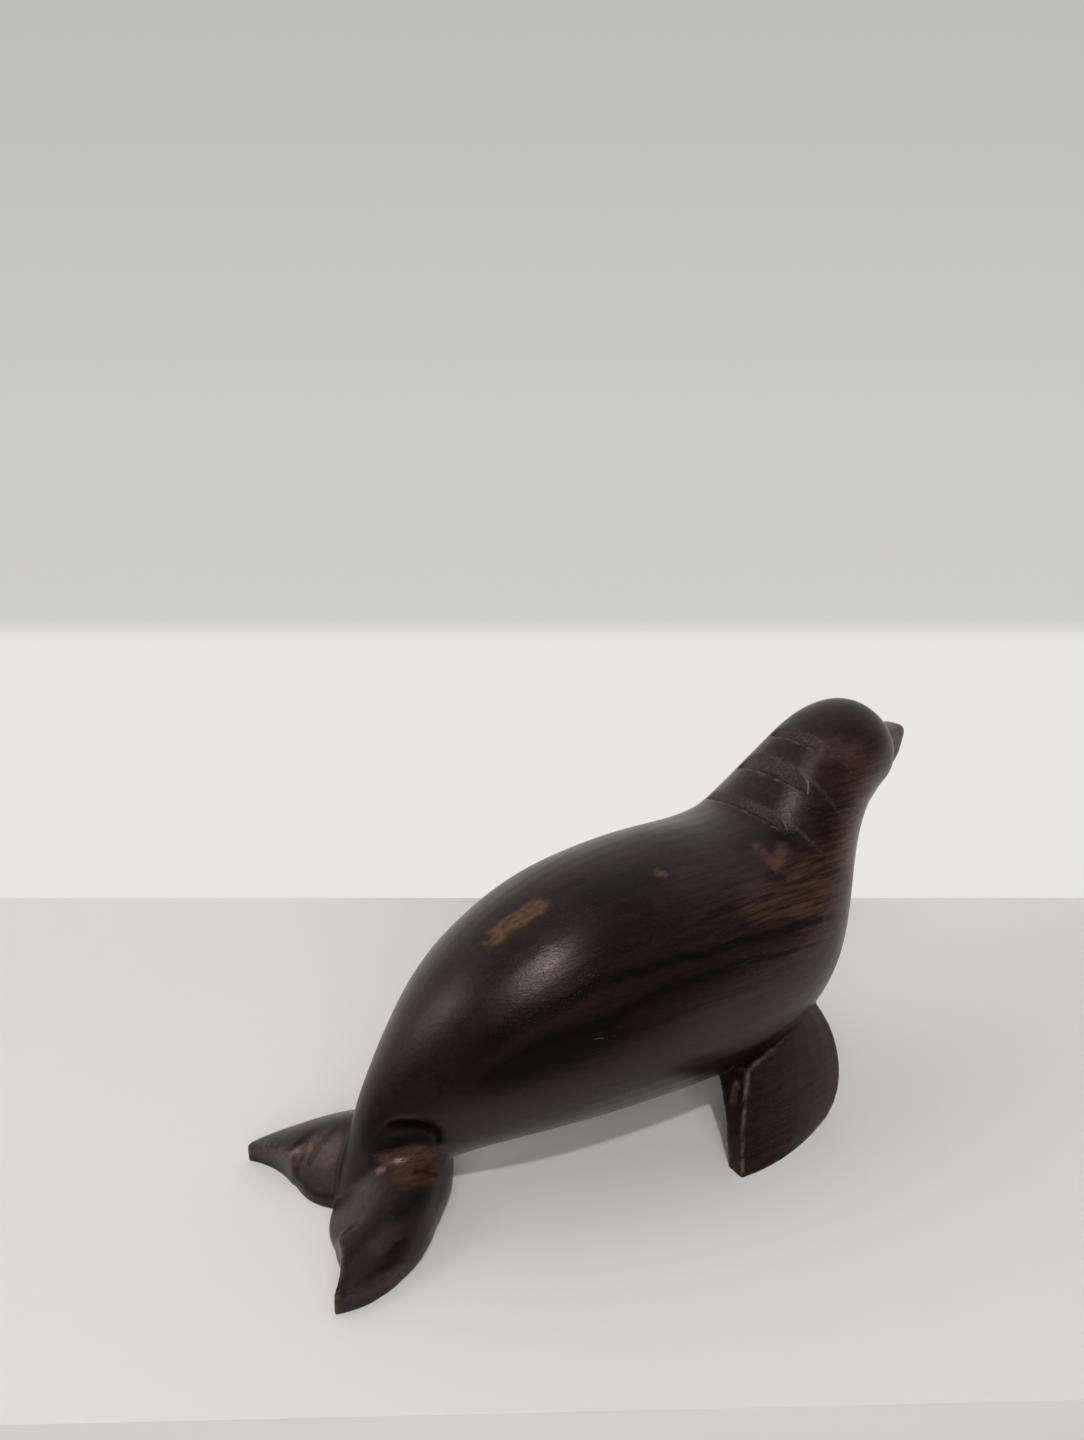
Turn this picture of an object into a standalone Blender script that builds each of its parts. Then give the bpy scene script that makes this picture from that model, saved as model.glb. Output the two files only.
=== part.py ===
"""A seal figurine, carved from one block of dark, heavy hardwood.

It is one piece of wood: a plump body with the head held up, a short blunt snout, two front
flippers that prop up the chest, two hind flippers that fan out on the ground, and three folds
cut across each side of the nape.

The script works the way a carver does. The main masses are roughed out and joined, hollows are
cut beside the tail, the whole is sanded, and only then are the crisp forms cut: the paddles of
the front flippers, the folds in the neck and the flat soles that the figurine stands on.

Lengths are in millimetres in the values below. X runs forward from the tail tips, Y to the
animal's left and Z up from the ground.
"""

import math

import bmesh
import bpy
import numpy as np
from mathutils import Vector

MM = 0.001

# Where the middle of the length lies, measured from the tail tips. The figurine is placed on it.
MIDDLE_X = 97.9

# Body: one line for each station, from the tail to the crown of the head. Each gives a point on
# the back and one on the belly, as (x, z), and half the width there.
BODY_STATIONS = (
    ((10.5, 2.0), (13.5, 0.8), 2.5),
    ((13.2, 11.5), (22.0, 1.2), 6.0),
    ((17.8, 23.8), (31.5, 4.0), 10.0),
    ((27.9, 39.4), (42.0, 7.2), 17.5),
    ((42.8, 54.8), (56.5, 7.8), 26.3),
    ((62.9, 66.5), (71.8, 7.0), 31.6),
    ((84.6, 72.3), (88.7, 5.8), 34.3),
    ((104.6, 74.3), (107.5, 5.2), 35.0),
    ((119.2, 74.4), (132.5, 9.0), 34.3),
    ((127.5, 75.2), (152.0, 23.0), 31.4),
    ((132.9, 77.4), (162.4, 43.3), 26.3),
    ((141.2, 84.8), (168.9, 61.2), 20.9),
    ((150.5, 92.9), (175.3, 70.8), 17.6),
    ((162.5, 100.2), (181.0, 74.5), 15.8),
    ((175.0, 101.6), (184.5, 77.0), 13.2),
    ((183.0, 96.5), (186.8, 83.0), 8.0),
)
BODY_RINGS = 90
BODY_SIDES = 48

# Snout: a short blunt block in front of the head.
SNOUT_TIP_X = 198.3
SNOUT_ROOT_X = 176.0
SNOUT_TOP_Z = 91.6
SNOUT_TIP_HEIGHT = 9.5
SNOUT_ROOT_HEIGHT = 24.0
SNOUT_TIP_WIDTH = 9.0
SNOUT_ROOT_WIDTH = 17.0
SNOUT_CHIN_SETBACK = 3.5
SNOUT_ROUNDING = 2.9

# Hind flippers: the two edges of the left one, from the root to the tip, as (x, y).
LEADING_EDGE = (
    (39.5, 4.0),
    (34.8, 12.0),
    (28.0, 18.5),
    (22.6, 23.5),
    (16.5, 27.2),
    (9.5, 29.4),
    (3.5, 29.8),
    (-0.9, 28.8),
)
TRAILING_EDGE = (
    (11.3, -1.0),
    (7.3, 4.0),
    (5.6, 8.5),
    (5.1, 13.0),
    (2.6, 18.0),
    (-0.5, 22.5),
    (-2.0, 26.0),
    (-2.2, 28.3),
)
# Its ridge runs from the root to the tip: (share of the length, height, share of the width from
# the trailing edge).
RIDGE = (
    (0.0, 14.5, 0.66),
    (0.14, 15.2, 0.65),
    (0.28, 14.4, 0.62),
    (0.43, 12.0, 0.58),
    (0.57, 9.5, 0.52),
    (0.71, 7.4, 0.45),
    (0.86, 5.8, 0.4),
    (1.0, 4.8, 0.4),
)
# Height of the trailing edge: low on the inner lobe, full from the corner out.
TRAILING = ((0.0, 3.0), (0.14, 2.2), (0.28, 1.8), (0.45, 2.4), (0.56, 6.9), (0.72, 6.4), (1.0, 4.5))
LEADING_SHARE = 0.4
ROOT_CLEARANCE = 5.0

# Hollows scooped beside the tail, above the hind flippers.
HOLLOW_AT = (18.8, 15.0, 20.6)
HOLLOW_REACH = (12.0, 8.4, 6.9)

# Scallops that thin the trailing edge beside each tip: centre (x, y) and radius of the gouge.
SCALLOP_AT = (-17.2, 13.0)
SCALLOP_RADIUS = 22.0

# Front flippers: the front and rear edges of the left one on its outer face, as (x, height up
# the face), the height of its upper arris at each end, and how the face leans.
PADDLE_REAR = ((97.2, -2.0), (98.0, 0.0), (101.3, 8.0), (106.0, 16.5), (111.0, 25.0), (115.0, 32.0))
PADDLE_FRONT = (
    (121.0, -2.0),
    (127.5, 0.0),
    (133.0, 1.4),
    (138.8, 4.9),
    (142.4, 10.0),
    (144.0, 16.5),
    (143.6, 22.5),
    (141.2, 29.0),
    (138.0, 35.0),
)
PADDLE_ARRIS = (22.8, 31.0)
PADDLE_FOOT_Y = 43.6
PADDLE_LEAN = math.radians(24.0)
PADDLE_TOE_IN = math.radians(6.0)
PADDLE_BULGE = 1.5
PADDLE_THICKNESS = 4.8
PADDLE_ROOT_THICKNESS = 11.5
PADDLE_EDGE_ROUNDING = 0.5

# Folds cut across the nape, from the shoulders up: where the stop cut crosses the nape, as
# (x, z), the lean of the neck there, how far round each side it reaches, how much lower its ends
# lie, its depth, and how far up the neck the slice above it starts.
FOLDS = (
    ((131.6, 76.9), math.radians(45.0), 17.0, 5.2, 1.7, 5.6),
    ((141.3, 85.2), math.radians(42.0), 14.2, 4.7, 1.9, 6.2),
    ((151.0, 93.3), math.radians(40.0), 9.8, 2.7, 1.3, 4.4),
)
FOLD_OVERSHOOT = 1.12
FOLD_OUT = 7.0

SANDING_GRIT = 0.8
SANDING_PASSES = 7
TRIANGLES_AFTER_SANDING = 8800

WOOD_COLOUR = (0.035, 0.020, 0.017, 1.0)
WOOD_ROUGHNESS = 0.32


def smooth_through(knots, count):
    """Points of a natural cubic spline through the knots, evenly spaced on its chord length."""
    knots = np.array(knots, float)
    place = np.concatenate([[0.0], np.cumsum(np.linalg.norm(np.diff(knots, axis=0), axis=1))])
    gap = np.diff(place)
    last = len(knots) - 1
    system = np.eye(last + 1)
    wanted = np.zeros_like(knots)
    for i in range(1, last):
        system[i, i - 1 : i + 2] = gap[i - 1], 2 * (gap[i - 1] + gap[i]), gap[i]
        wanted[i] = 6 * ((knots[i + 1] - knots[i]) / gap[i] - (knots[i] - knots[i - 1]) / gap[i - 1])
    bend = np.linalg.solve(system, wanted)
    points = []
    for at in np.linspace(0.0, place[-1], count):
        i = min(int(np.searchsorted(place, at, side="right")) - 1, last - 1)
        a, b, h = place[i + 1] - at, at - place[i], gap[i]
        points.append(
            (bend[i] * a**3 + bend[i + 1] * b**3) / (6 * h)
            + (knots[i] / h - bend[i] * h / 6) * a
            + (knots[i + 1] / h - bend[i + 1] * h / 6) * b
        )
    return np.array(points)


def solid_from_rings(name, rings):
    """A closed solid lofted through the rings, each a list of points in millimetres."""
    shape = bmesh.new()
    rows = [[shape.verts.new(Vector(point) * MM) for point in ring] for ring in rings]
    sides = len(rows[0])
    for near, far in zip(rows, rows[1:]):
        for k in range(sides):
            following = (k + 1) % sides
            shape.faces.new((near[k], near[following], far[following], far[k]))
    shape.faces.new(rows[0][::-1])
    shape.faces.new(rows[-1])
    bmesh.ops.recalc_face_normals(shape, faces=shape.faces)
    return object_from(name, shape)


def object_from(name, shape):
    mesh = bpy.data.meshes.new(name)
    shape.to_mesh(mesh)
    shape.free()
    made = bpy.data.objects.new(name, mesh)
    helpers.objects.link(made)
    made.parent = stand
    made.hide_render = True
    made.display_type = "WIRE"
    return made


def both_sides(piece):
    """Adds the mirror image of a piece that lies on the animal's left."""
    mirror = piece.modifiers.new("Other side", "MIRROR")
    mirror.use_axis = (False, True, False)
    mirror.use_mirror_merge = False
    return piece


def body():
    stations = [(*back, *belly, width) for back, belly, width in BODY_STATIONS]
    rings = []
    for back_x, back_z, belly_x, belly_z, width in smooth_through(stations, BODY_RINGS):
        centre = Vector(((back_x + belly_x) / 2, 0.0, (back_z + belly_z) / 2))
        reach = Vector(((back_x - belly_x) / 2, 0.0, (back_z - belly_z) / 2))
        side = Vector((0.0, width, 0.0))
        ring = []
        for k in range(BODY_SIDES):
            turn = 2 * math.pi * k / BODY_SIDES
            ring.append(centre + reach * math.cos(turn) + side * math.sin(turn))
        rings.append(ring)
    return solid_from_rings("body_mass", rings)


def snout():
    """A block that narrows to its blunt end, with its edges rounded over."""
    shape = bmesh.new()
    bmesh.ops.create_cube(shape, size=1.0)
    for corner in shape.verts:
        front = corner.co.x > 0
        top = corner.co.z > 0
        width = SNOUT_TIP_WIDTH if front else SNOUT_ROOT_WIDTH
        height = SNOUT_TIP_HEIGHT if front else SNOUT_ROOT_HEIGHT
        x = SNOUT_TIP_X if front else SNOUT_ROOT_X
        if front and not top:
            x -= SNOUT_CHIN_SETBACK
        z = SNOUT_TOP_Z if top else SNOUT_TOP_Z - height
        corner.co = Vector((x, math.copysign(width / 2, corner.co.y), z)) * MM
    bmesh.ops.bevel(
        shape,
        geom=shape.edges[:],
        offset=SNOUT_ROUNDING * MM,
        segments=4,
        profile=0.5,
        affect="EDGES",
    )
    return object_from("snout_block", shape)


def hind_flipper():
    """A flipper that swells to a ridge near its leading edge and lies flat on the ground."""
    steps = 30
    across = 16
    leading = smooth_through([(*edge, 0.0) for edge in LEADING_EDGE], steps)
    trailing = smooth_through([(*edge, 0.0) for edge in TRAILING_EDGE], steps)
    share = np.linspace(0.0, 1.0, steps)
    starts, heights, places = zip(*RIDGE)
    ridge = np.interp(share, starts, heights)
    places = np.interp(share, starts, places)
    thin = np.interp(share, *zip(*TRAILING))
    rings = []
    for lead, trail, top_z, place, edge_z, along in zip(
        leading, trailing, ridge, places, thin, share
    ):
        top, bottom = [], []
        for j in range(across + 1):
            u = j / across
            x, y = trail[:2] + (lead[:2] - trail[:2]) * u
            if u < place:
                rise = math.sin(math.pi / 2 * u / place)
                z = edge_z + (top_z - edge_z) * rise
            else:
                fall = math.sqrt(max(0.0, 1 - ((u - place) / (1 - place)) ** 2.4))
                z = top_z * (LEADING_SHARE + (1 - LEADING_SHARE) * fall)
            under = ROOT_CLEARANCE * (1 - along) ** 2 * max(0.0, 2 * u - 1) - 1.0
            top.append((x, y, z))
            bottom.append((x, y, under))
        rings.append(top + bottom[::-1])
    return both_sides(solid_from_rings("hind_flipper_mass", rings))


def hollow():
    shape = bmesh.new()
    bmesh.ops.create_uvsphere(shape, u_segments=32, v_segments=20, radius=1.0)
    for corner in shape.verts:
        stretched = [c * r for c, r in zip(corner.co, HOLLOW_REACH)]
        corner.co = (Vector(stretched) + Vector(HOLLOW_AT)) * MM
    return both_sides(object_from("tail_hollow", shape))


def scallop():
    shape = bmesh.new()
    bmesh.ops.create_cone(
        shape,
        cap_ends=True,
        segments=96,
        radius1=SCALLOP_RADIUS * MM,
        radius2=SCALLOP_RADIUS * MM,
        depth=40.0 * MM,
    )
    for corner in shape.verts:
        corner.co += Vector((*SCALLOP_AT, 0.0)) * MM
    return both_sides(object_from("tip_scallop", shape))


def fold(index):
    """A wedge bent round the nape: a stop cut below, and a long slice that runs down to it."""
    (nape_x, nape_z), lean, reach, drop, depth, rise = FOLDS[index]
    along = Vector((math.cos(lean), 0.0, math.sin(lean)))
    inward = Vector((math.sin(lean), 0.0, -math.cos(lean)))
    nape = Vector((nape_x, 0.0, nape_z))
    radius = (reach**2 + drop**2) / (2 * drop)
    middle = nape + inward * radius
    rings = []
    steps = 28
    for i in range(steps + 1):
        t = (2 * i / steps - 1) * FOLD_OVERSHOOT
        turn = math.asin(min(1.0, reach / radius)) * t
        outward = Vector((0.0, math.sin(turn), 0.0)) - inward * math.cos(turn)
        edge = middle + outward * (radius - depth * (1 - t**8))
        rings.append(
            (
                edge,
                edge + outward * FOLD_OUT,
                edge + outward * FOLD_OUT + along * (FOLD_OUT * rise / depth),
            )
        )
    return solid_from_rings(f"fold_cut_{index + 1}", rings)


def edge_at(edge, height):
    heights = [h for _, h in edge]
    return float(np.interp(height, heights, [x for x, _ in edge]))


def paddle():
    """The left front flipper: a gently swelling outer face that leans out to the ground, and a
    plate that thickens up to its root, ending in an arris that stands proud of the chest."""
    forward = Vector((math.cos(PADDLE_TOE_IN), -math.sin(PADDLE_TOE_IN), 0.0))
    outward = Vector((math.sin(PADDLE_TOE_IN), math.cos(PADDLE_TOE_IN), 0.0))
    up = Vector((0.0, 0.0, math.cos(PADDLE_LEAN))) - outward * math.sin(PADDLE_LEAN)
    inward = -(outward * math.cos(PADDLE_LEAN) + Vector((0.0, 0.0, math.sin(PADDLE_LEAN))))
    heel = edge_at(PADDLE_REAR, 0.0)
    foot = Vector((heel, PADDLE_FOOT_Y, 0.0))
    front = smooth_through([(x, h, 0.0) for x, h in PADDLE_FRONT], 60)
    front = [(x, h) for x, h, _ in front]
    lowest = PADDLE_FRONT[0][1]
    rows, columns = 12, 6
    rings = []
    for i in range(rows + 1):
        climb = (i / rows) ** 1.6
        outer, inner = [], []
        for j in range(columns + 1):
            s = j / columns
            top = PADDLE_ARRIS[0] + (PADDLE_ARRIS[1] - PADDLE_ARRIS[0]) * s
            height = lowest + (top - lowest) * climb
            rear_x = edge_at(PADDLE_REAR, height)
            x = rear_x + (edge_at(front, height) - rear_x) * s
            swell = PADDLE_BULGE * (1 - (2 * s - 1) ** 2)
            place = foot + forward * (x - heel) + up * height - inward * swell
            share = max(0.0, height) / PADDLE_ARRIS[0]
            thickness = PADDLE_THICKNESS + (PADDLE_ROOT_THICKNESS - PADDLE_THICKNESS) * share**2
            outer.append(place)
            inner.append(place + inward * thickness)
        rings.append(outer + inner[::-1])
    made = solid_from_rings("front_flipper", rings)
    rounding = made.modifiers.new("Softened edges", "BEVEL")
    rounding.width = PADDLE_EDGE_ROUNDING * MM
    rounding.segments = 2
    rounding.limit_method = "ANGLE"
    rounding.angle_limit = math.radians(35.0)
    return both_sides(made)


def ground():
    """What is sawn off below the ground, so that the figurine stands on flat soles."""
    shape = bmesh.new()
    bmesh.ops.create_cube(shape, size=1.0)
    for corner in shape.verts:
        corner.co = Vector(
            (corner.co.x * 400.0 + 100.0, corner.co.y * 200.0, corner.co.z * 40.0 - 20.0)
        ) * MM
    return object_from("ground_cut", shape)


def join(target, tool, name):
    step = target.modifiers.new(name, "BOOLEAN")
    step.operation = "UNION"
    step.solver = "EXACT"
    step.use_self = True
    step.object = tool


def cut(target, tool, name):
    step = target.modifiers.new(name, "BOOLEAN")
    step.operation = "DIFFERENCE"
    step.use_self = True
    step.solver = "EXACT"
    step.object = tool


def sand(target):
    grain = target.modifiers.new("Even surface", "REMESH")
    grain.mode = "VOXEL"
    grain.voxel_size = SANDING_GRIT * MM
    grain.use_smooth_shade = True
    paper = target.modifiers.new("Sanding", "SMOOTH")
    paper.factor = 0.5
    paper.iterations = SANDING_PASSES


def thin_out(target, triangles):
    """Fewer triangles where the surface is plain."""
    graph = bpy.context.evaluated_depsgraph_get()
    mesh = target.evaluated_get(graph).to_mesh()
    mesh.calc_loop_triangles()
    now = len(mesh.loop_triangles)
    target.evaluated_get(graph).to_mesh_clear()
    fewer = target.modifiers.new("Fewer faces", "DECIMATE")
    fewer.ratio = min(1.0, triangles / now)


def wood():
    material = bpy.data.materials.new("dark_hardwood")
    material.use_nodes = True
    shader = material.node_tree.nodes["Principled BSDF"]
    shader.inputs["Base Color"].default_value = WOOD_COLOUR
    shader.inputs["Roughness"].default_value = WOOD_ROUGHNESS
    shader.inputs["Metallic"].default_value = 0.0
    material.diffuse_color = WOOD_COLOUR
    return material


for old in list(bpy.data.objects):
    bpy.data.objects.remove(old)

figurine = bpy.data.collections.new("seal_figurine")
helpers = bpy.data.collections.new("masses_and_cutters")
bpy.context.scene.collection.children.link(figurine)
bpy.context.scene.collection.children.link(helpers)
stand = bpy.data.objects.new("stand", None)
stand.location.x = -MIDDLE_X * MM
figurine.objects.link(stand)

seal = body()
helpers.objects.unlink(seal)
figurine.objects.link(seal)
seal.name = "seal"
seal.hide_render = False
seal.display_type = "TEXTURED"
seal.data.materials.append(wood())

join(seal, snout(), "Snout")
join(seal, hind_flipper(), "Hind flippers")
cut(seal, hollow(), "Tail hollows")
sand(seal)
thin_out(seal, TRIANGLES_AFTER_SANDING)
cut(seal, scallop(), "Scalloped tips")
for number in range(len(FOLDS)):
    cut(seal, fold(number), f"Fold {number + 1}")
join(seal, paddle(), "Front flippers")
cut(seal, ground(), "Flat soles")
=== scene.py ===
# %% [markdown]
# # A seal carved from dark, heavy hardwood
#
# The real object is one block of wood, sawn and rasped to shape, sanded, and polished by hand with
# wax or oil. This lesson makes its fine surface in the same order as the carver worked, then gives
# it a wood that is solid all the way through, so that the grain runs on correctly over every curve.
#
# Lengths are in millimetres in the tables, with X forward from the tail tips, Y to the animal's
# left and Z up from the ground.

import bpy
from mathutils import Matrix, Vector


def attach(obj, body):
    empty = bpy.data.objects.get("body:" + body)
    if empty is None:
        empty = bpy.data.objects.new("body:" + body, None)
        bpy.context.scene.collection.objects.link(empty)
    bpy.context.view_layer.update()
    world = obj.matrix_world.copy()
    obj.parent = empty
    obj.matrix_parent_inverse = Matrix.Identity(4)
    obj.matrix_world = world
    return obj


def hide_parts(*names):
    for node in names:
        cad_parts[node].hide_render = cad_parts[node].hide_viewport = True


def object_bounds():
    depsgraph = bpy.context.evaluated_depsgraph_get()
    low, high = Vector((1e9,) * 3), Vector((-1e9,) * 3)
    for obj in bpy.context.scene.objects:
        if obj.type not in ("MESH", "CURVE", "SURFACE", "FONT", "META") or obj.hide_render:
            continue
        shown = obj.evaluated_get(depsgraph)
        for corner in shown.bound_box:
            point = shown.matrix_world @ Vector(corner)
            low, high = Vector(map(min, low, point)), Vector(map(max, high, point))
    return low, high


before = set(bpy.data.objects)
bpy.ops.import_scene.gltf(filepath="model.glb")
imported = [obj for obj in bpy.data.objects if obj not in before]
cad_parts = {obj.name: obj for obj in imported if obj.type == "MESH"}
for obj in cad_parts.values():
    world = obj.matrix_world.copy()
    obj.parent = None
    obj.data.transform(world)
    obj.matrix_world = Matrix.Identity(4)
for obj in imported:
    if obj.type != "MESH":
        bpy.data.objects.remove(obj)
plain_low, plain_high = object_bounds()
print("plain model, mm:", [round((b - a) * 1000, 1) for a, b in zip(plain_low, plain_high)])

# %% Modules and the unit of the tables
import math

import bmesh
import bpy
import numpy as np
from mathutils import Matrix, Vector, noise

MM = 0.001
MIDDLE_X = 97.9

# %% [markdown]
# ## The carver's dimensions
#
# A carving has no drawing, so the shape is held by a few tables: stations along the body, the two
# edges of each flipper, and the cuts in the neck. Sculpting freely would also work, but tables keep
# the left and right sides alike and are easy to correct.

# %% Tables of the shape
# Body: one line for each station, from the tail to the crown of the head. Each gives a point on
# the back and one on the belly, as (x, z), and half the width there.
BODY_STATIONS = (
    ((10.5, 2.0), (13.5, 0.8), 2.5),
    ((13.2, 11.5), (22.0, 1.2), 6.0),
    ((17.8, 23.8), (31.5, 4.0), 10.0),
    ((27.9, 39.4), (42.0, 7.2), 17.5),
    ((42.8, 54.8), (56.5, 7.8), 26.3),
    ((62.9, 66.5), (71.8, 7.0), 31.6),
    ((84.6, 72.3), (88.7, 5.8), 34.3),
    ((104.6, 74.3), (107.5, 5.2), 35.0),
    ((119.2, 74.4), (132.5, 9.0), 34.3),
    ((127.5, 75.2), (152.0, 23.0), 31.4),
    ((132.9, 77.4), (162.4, 43.3), 26.3),
    ((141.2, 84.8), (168.9, 61.2), 20.9),
    ((150.5, 92.9), (175.3, 70.8), 17.6),
    ((162.5, 100.2), (181.0, 74.5), 15.8),
    ((175.0, 101.6), (184.5, 77.0), 13.2),
    ((183.0, 96.5), (186.8, 83.0), 8.0),
)
BODY_RINGS = 90
BODY_SIDES = 48

# Snout: a short blunt block in front of the head.
SNOUT_TIP_X = 198.3
SNOUT_ROOT_X = 176.0
SNOUT_TOP_Z = 91.6
SNOUT_TIP_HEIGHT = 9.5
SNOUT_ROOT_HEIGHT = 24.0
SNOUT_TIP_WIDTH = 9.0
SNOUT_ROOT_WIDTH = 17.0
SNOUT_CHIN_SETBACK = 3.5
SNOUT_ROUNDING = 2.9

# Hind flippers: the two edges of the left one, from the root to the tip, as (x, y).
LEADING_EDGE = (
    (39.5, 4.0),
    (34.8, 12.0),
    (28.0, 18.5),
    (22.6, 23.5),
    (16.5, 27.2),
    (9.5, 29.4),
    (3.5, 29.8),
    (-0.9, 28.8),
)
TRAILING_EDGE = (
    (11.3, -1.0),
    (7.3, 4.0),
    (5.6, 8.5),
    (5.1, 13.0),
    (2.6, 18.0),
    (-0.5, 22.5),
    (-2.0, 26.0),
    (-2.2, 28.3),
)
# Its ridge runs from the root to the tip: (share of the length, height, share of the width from
# the trailing edge).
RIDGE = (
    (0.0, 14.5, 0.66),
    (0.14, 15.2, 0.65),
    (0.28, 14.4, 0.62),
    (0.43, 12.0, 0.58),
    (0.57, 9.5, 0.52),
    (0.71, 7.4, 0.45),
    (0.86, 5.8, 0.4),
    (1.0, 4.8, 0.4),
)
# Height of the trailing edge: low on the inner lobe, full from the corner out.
TRAILING = ((0.0, 3.0), (0.14, 2.2), (0.28, 1.8), (0.45, 2.4), (0.56, 6.9), (0.72, 6.4), (1.0, 4.5))
LEADING_SHARE = 0.4
ROOT_CLEARANCE = 5.0
LEADING_FALL = 2.4

# Hollows scooped beside the tail, above the hind flippers.
HOLLOW_AT = (18.8, 15.0, 20.6)
HOLLOW_REACH = (12.0, 8.4, 6.9)

# Scallops that thin the trailing edge beside each tip: centre (x, y) and radius of the gouge.
SCALLOP_AT = (-17.2, 13.0)
SCALLOP_RADIUS = 22.0

# Front flippers: the front and rear edges of the left one on its outer face, as (x, height up
# the face), the height of its upper arris at each end, and how the face leans.
PADDLE_REAR = ((97.2, -2.0), (98.0, 0.0), (101.3, 8.0), (106.0, 16.5), (111.0, 25.0), (115.0, 32.0))
PADDLE_FRONT = (
    (121.0, -2.0),
    (127.5, 0.0),
    (133.0, 1.4),
    (138.8, 4.9),
    (142.4, 10.0),
    (144.0, 16.5),
    (143.6, 22.5),
    (141.2, 29.0),
    (138.0, 35.0),
)
PADDLE_ARRIS = (22.8, 31.0)
PADDLE_FOOT_Y = 43.6
PADDLE_LEAN = math.radians(24.0)
PADDLE_TOE_IN = math.radians(6.0)
PADDLE_BULGE = 1.5
PADDLE_THICKNESS = 4.8
PADDLE_ROOT_THICKNESS = 11.5
PADDLE_EDGE_ROUNDING = 0.5
PADDLE_CLIMB = 1.6

# Folds cut across the nape, from the shoulders up: where the stop cut crosses the nape, as
# (x, z), the lean of the neck there, how far round each side it reaches, how much lower its ends
# lie, its depth, and how far up the neck the slice above it starts.
FOLDS = (
    ((131.6, 76.9), math.radians(45.0), 17.0, 5.2, 1.7, 5.6),
    ((141.3, 85.2), math.radians(42.0), 14.2, 4.7, 1.9, 6.2),
    ((151.0, 93.3), math.radians(40.0), 9.8, 2.7, 1.3, 4.4),
)
FOLD_OVERSHOOT = 1.12
FOLD_OUT = 7.0

# %% [markdown]
# ## Helpers for closed solids
#
# A natural cubic spline fills in the stations between those in the tables. Each rough mass is a
# loft: rings of points joined by faces, with both ends closed, so that Booleans can work on it.

# %% A smooth curve through a few knots
def smooth_through(knots, count):
    """Points of a natural cubic spline through the knots, evenly spaced on its chord length."""
    knots = np.array(knots, float)
    place = np.concatenate([[0.0], np.cumsum(np.linalg.norm(np.diff(knots, axis=0), axis=1))])
    gap = np.diff(place)
    last = len(knots) - 1
    system = np.eye(last + 1)
    wanted = np.zeros_like(knots)
    for i in range(1, last):
        system[i, i - 1 : i + 2] = gap[i - 1], 2 * (gap[i - 1] + gap[i]), gap[i]
        slope_after = (knots[i + 1] - knots[i]) / gap[i]
        slope_before = (knots[i] - knots[i - 1]) / gap[i - 1]
        wanted[i] = 6 * (slope_after - slope_before)
    bend = np.linalg.solve(system, wanted)
    points = []
    for at in np.linspace(0.0, place[-1], count):
        i = min(int(np.searchsorted(place, at, side="right")) - 1, last - 1)
        a, b, h = place[i + 1] - at, at - place[i], gap[i]
        points.append(
            (bend[i] * a**3 + bend[i + 1] * b**3) / (6 * h)
            + (knots[i] / h - bend[i] * h / 6) * a
            + (knots[i + 1] / h - bend[i + 1] * h / 6) * b
        )
    return np.array(points)


# %% Closed solids from rings of points
workshop = bpy.data.collections.new("workshop")
bpy.context.scene.collection.children.link(workshop)


def object_from(name, shape):
    mesh = bpy.data.meshes.new(name)
    shape.to_mesh(mesh)
    shape.free()
    made = bpy.data.objects.new(name, mesh)
    workshop.objects.link(made)
    return made


def solid_from_rings(name, rings):
    """A closed solid lofted through the rings, each a list of points in millimetres."""
    shape = bmesh.new()
    rows = [[shape.verts.new(Vector(point) * MM) for point in ring] for ring in rings]
    sides = len(rows[0])
    for near, far in zip(rows, rows[1:]):
        for k in range(sides):
            following = (k + 1) % sides
            shape.faces.new((near[k], near[following], far[following], far[k]))
    shape.faces.new(rows[0][::-1])
    shape.faces.new(rows[-1])
    bmesh.ops.recalc_face_normals(shape, faces=shape.faces)
    return object_from(name, shape)


def both_sides(piece):
    """Adds the mirror image of a piece that lies on the animal's left."""
    mirror = piece.modifiers.new("Other side", "MIRROR")
    mirror.use_axis = (False, True, False)
    mirror.use_mirror_merge = False
    return piece


# %% [markdown]
# ## Rough masses
#
# The body is one loft from the tail to the crown. The snout is a block with rounded edges, and
# each hind flipper is a plate that swells to a ridge near its leading edge.

# %% Body
def body():
    stations = [(*back, *belly, width) for back, belly, width in BODY_STATIONS]
    rings = []
    for back_x, back_z, belly_x, belly_z, width in smooth_through(stations, BODY_RINGS):
        centre = Vector(((back_x + belly_x) / 2, 0.0, (back_z + belly_z) / 2))
        reach = Vector(((back_x - belly_x) / 2, 0.0, (back_z - belly_z) / 2))
        side = Vector((0.0, width, 0.0))
        ring = []
        for k in range(BODY_SIDES):
            turn = 2 * math.pi * k / BODY_SIDES
            ring.append(centre + reach * math.cos(turn) + side * math.sin(turn))
        rings.append(ring)
    return solid_from_rings("body_mass", rings)


# %% Snout
def snout():
    """A block that narrows to its blunt end, with its edges rounded over."""
    shape = bmesh.new()
    bmesh.ops.create_cube(shape, size=1.0)
    for corner in shape.verts:
        front = corner.co.x > 0
        top = corner.co.z > 0
        width = SNOUT_TIP_WIDTH if front else SNOUT_ROOT_WIDTH
        height = SNOUT_TIP_HEIGHT if front else SNOUT_ROOT_HEIGHT
        x = SNOUT_TIP_X if front else SNOUT_ROOT_X
        if front and not top:
            x -= SNOUT_CHIN_SETBACK
        z = SNOUT_TOP_Z if top else SNOUT_TOP_Z - height
        corner.co = Vector((x, math.copysign(width / 2, corner.co.y), z)) * MM
    bmesh.ops.bevel(
        shape,
        geom=shape.edges[:],
        offset=SNOUT_ROUNDING * MM,
        segments=4,
        profile=0.5,
        affect="EDGES",
    )
    return object_from("snout_block", shape)


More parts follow.
